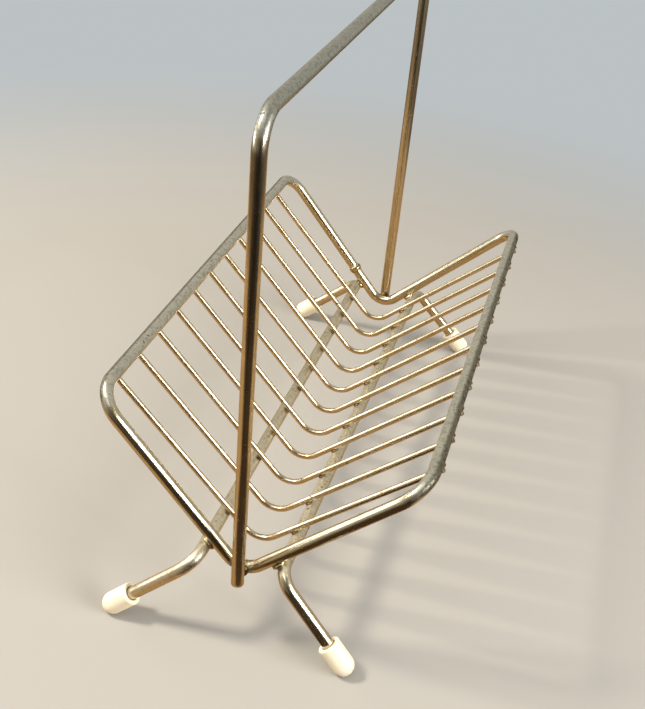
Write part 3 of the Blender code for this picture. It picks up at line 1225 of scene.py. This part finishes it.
@dataclass
class Studio:
    """Pale floor, soft lights and the camera."""

    floor_size: float = 8.0
    lamp_aim: Triple = (0.0, 0.0, 0.1)
    focal_length: float = 51.778
    camera_place: Triple = (0.09707, -0.47724, 0.40051)
    camera_degrees: Triple = (55.93, -7.08, 17.05)

    def build_floor(self, floor_finish: Material, card_finishes: list[Material]) -> None:
        """Lays the floor, and three cards that only show as reflections in the metal.

        Args:
            floor_finish: finish of the floor.
            card_finishes: finishes of the tan board, the black flag by the camera, and the brown cloth.
        """
        deselect_all()
        bpy.ops.mesh.primitive_plane_add(size=self.floor_size)
        floor = bpy.context.object
        floor.name = "floor"
        floor.data.materials.append(floor_finish)
        floor.visible_glossy = False
        # Name, width and depth, middle in metres, and turn in degrees
        rows = (
            ("reflector_board", (0.84, 0.62), (-0.02, 0.06, 0.0001), (0, 0, 21)),
            ("black_flag", (0.6, 0.9), (0.40, -0.62, -0.03), (90, 0, 0)),
            ("brown_floor_cloth", (0.22, 0.3), (0.10, -0.29, 0.0003), (0, 0, 32)),
        )
        for (name, size, middle, degrees), finish in zip(rows, card_finishes):
            deselect_all()
            turn = [math.radians(angle) for angle in degrees]
            bpy.ops.mesh.primitive_plane_add(size=1.0, location=middle, rotation=turn)
            card = bpy.context.object
            card.scale = (*size, 1.0)
            bpy.ops.object.transform_apply()
            card.name = name
            card.visible_camera = card.visible_diffuse = card.visible_shadow = False
            card.data.materials.append(finish)

    def build_lights(self) -> None:
        """Hangs the key at the upper left, long panels low on both sides, and an overhead, all out of sight."""
        # Name, middle in metres, width and height, watts and colour
        for name, place, size, power, colour in (
            ("key", (-0.95, -0.30, 1.15), (0.24, 0.24), 24.0, "#fff6e8"),
            ("right_panel", (1.15, -0.32, 0.62), (0.78, 0.4), 20.0, "#ffffff"),
            ("left_panel", (-1.3, 0.0, 0.32), (1.3, 0.42), 8.0, "#ffffff"),
            ("overhead", (-0.25, -0.6, 1.35), (0.8, 0.6), 5.0, "#f4f8ff"),
        ):
            lamp = bpy.data.lights.new(name, "AREA")
            lamp.shape = "RECTANGLE"
            lamp.size, lamp.size_y = size
            lamp.energy = power
            lamp.color = linear(colour)[:3]
            panel = bpy.data.objects.new(name, lamp)
            bpy.context.scene.collection.objects.link(panel)
            panel.location = place
            panel.rotation_euler = (Vector(self.lamp_aim) - Vector(place)).to_track_quat("-Z", "Y").to_euler()
            panel.visible_camera = False

    def build_world(self) -> None:
        """Pale walls behind and beside the rack, a dim room where the camera stands, and an even backdrop."""
        world = bpy.data.worlds.new("studio")
        bpy.context.scene.world = world
        world.use_nodes = True
        tree = world.node_tree
        way = add_node(tree, "TexCoord", output="Generated")
        height = add_node(tree, "SeparateXYZ", {0: way}, "Z")
        # The windows are to the left and behind, and the dim side of the room to the front right
        towards = add_node(tree, "VectorMath", {0: way, 1: (-0.6, 0.8, 0.0)}, "Value", operation="DOT_PRODUCT")
        lit = add_node(tree, "MapRange", {"Value": towards, "From Min": -0.75, "From Max": 0.1}, **EASED)
        above = add_node(tree, "MapRange", {"Value": height, "From Min": -0.25, "From Max": -0.1}, **EASED)
        walls = add_node(tree, "Mix", {SHARE: lit, FIRST: linear("#6e675e"), SECOND: linear("#c9c6bd")}, **COLOURS)
        ground = add_node(tree, "Mix", {SHARE: lit, FIRST: linear("#2a2019"), SECOND: linear("#6e5a42")}, **COLOURS)
        around = add_node(tree, "Mix", {SHARE: above, FIRST: ground, SECOND: walls}, **COLOURS)
        seen = add_node(tree, "LightPath", output="Is Camera Ray")
        colour = add_node(tree, "Mix", {SHARE: seen, FIRST: around, SECOND: linear(STUDIO_GREY)}, **COLOURS)
        fill(tree, tree.nodes["Background"], {"Color": colour})

    def build_camera(self) -> None:
        """Looks down on the front right of the rack from above."""
        lens = bpy.data.cameras.new("camera")
        lens.lens = self.focal_length
        lens.sensor_width = 36.0
        lens.clip_start, lens.clip_end = 0.02, 50.0
        camera = bpy.data.objects.new("camera", lens)
        bpy.context.scene.collection.objects.link(camera)
        camera.location = self.camera_place
        camera.rotation_euler = [math.radians(angle) for angle in self.camera_degrees]
        bpy.context.scene.camera = camera
        bpy.context.scene.view_settings.view_transform = "Standard"


def main() -> None:
    """Builds the rack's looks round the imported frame."""
    logging.basicConfig(level=logging.INFO, format="%(name)s: %(message)s")
    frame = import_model()
    sizes = Measures.read(frame["nodes"])

    rod_finish = BrassPlatedSteel("brass_plated_drawn_steel").material()
    hoop_finish = BrassPlatedSteel("brass_plated_steel_handled", dull="#a5a598", dull_dark="#56534a").material()
    leg_finish = BrassPlatedSteel("brass_plated_steel_rubbed", dull="#ded5bd", dull_dark="#8c8062").material()
    wire_finish = BrassPlatedSteel(
        "bright_brass_plated_wire",
        bright="#e8e2cf",
        deep="#bfa369",
        tarnish_amount=0.35,
        gloss=0.2,
        relief=0.00003,
        pit_onset=0.62,
    ).material()
    weld_finish = WeldMetal("plated_resistance_weld").material()
    scorched_finish = WeldMetal("scorched_weld", bright="#6b5838", stain="#21170d", roughness=0.4).material()
    cap_finish = DippedVinyl("ivory_dipped_vinyl").material()
    floor_finish = PaintedFloor("matt_painted_floor").material()
    cards = [TanBoard("raw_tan_board"), DarkCloth("black_cloth", "#1c1712"), DarkCloth("brown_cloth", "#34271a")]

    welds = Welds(sizes, Vector((0.0040, 0.0040, 0.0019)), Vector((0.0020, 0.0024, 0.0009)))
    Rim(sizes).build(rod_finish, weld_finish, welds.spots("handle", "leg_weld", "rail"))
    Hoop(sizes).build(hoop_finish, welds.spots("handle"))
    LegRods(sizes).build(leg_finish, welds.spots("leg"))
    Wires(sizes).build(wire_finish, welds.spots("leg_left", "leg_right"))
    FootCap(sizes).build(cap_finish)
    welds.build(weld_finish, scorched_finish)

    studio = Studio()
    studio.build_floor(floor_finish, [card.material() for card in cards])
    studio.build_lights()
    studio.build_world()
    studio.build_camera()


if __name__ == "__main__":
    main()
